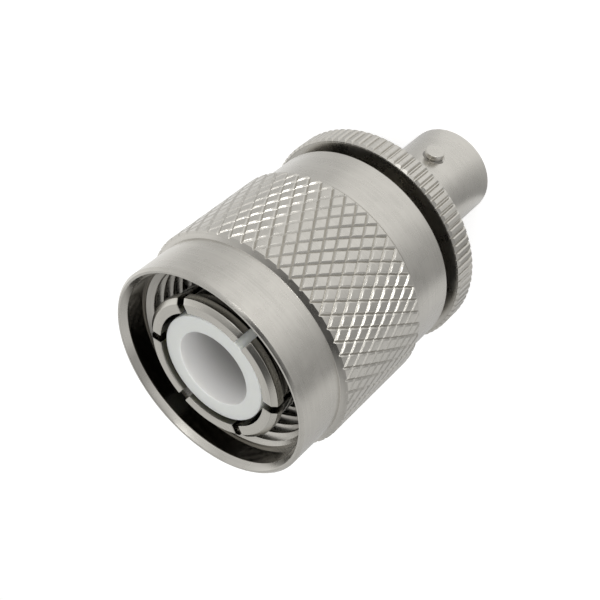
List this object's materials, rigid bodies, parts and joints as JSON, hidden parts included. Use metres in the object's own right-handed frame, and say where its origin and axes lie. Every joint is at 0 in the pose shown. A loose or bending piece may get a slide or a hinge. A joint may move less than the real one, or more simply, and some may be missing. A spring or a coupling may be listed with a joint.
{
  "type": "coaxial between-series adapter",
  "caption": "Straight coaxial adapter: knurled threaded coupling nut with slotted outer contact at one end, bayonet jack at the other.",
  "frame": {"origin": "centre of the bayonet barrel's mouth plane, the lowest point as the adapter stands on that end", "axes": "+Z along the common axis from the bayonet mouth to the coupling nut's rim; the two bayonet lugs lie on X"},
  "size_m": [0.0224, 0.0224, 0.0392],
  "materials": {
    "nut_nickel": "satin nickel plate on turned and knurled brass",
    "body_nickel": "satin nickel plate on turned brass",
    "contact_nickel": "nickel plate on a sawn spring sleeve",
    "contact_gold": "gold plate on turned brass",
    "ring_bronze": "rolled phosphor bronze",
    "ptfe": "turned white PTFE, waxy",
    "gasket_silicone": "matt moulded silicone"
  },
  "bodies": {
    "body": {"front_body": "body_nickel", "outer_contact": "contact_nickel", "front_insulator": "ptfe", "male_pin": "contact_gold", "rear_body": "body_nickel", "rear_insulator": "ptfe", "socket_contact": "contact_gold", "gasket": "gasket_silicone"},
    "ring": {"retaining_ring": "ring_bronze"},
    "nut": {"coupling_nut": "nut_nickel"}
  },
  "joints": [
    {"name": "nut_float", "type": "slide", "parent": "body", "child": "ring", "axis": [0, 0, 1], "range_m": [0, 0.0004]},
    {"name": "nut_turn", "type": "hinge", "parent": "ring", "child": "nut", "pos_m": [0, 0, 0.0282], "axis": [0, 0, 1], "continuous": true}
  ]
}
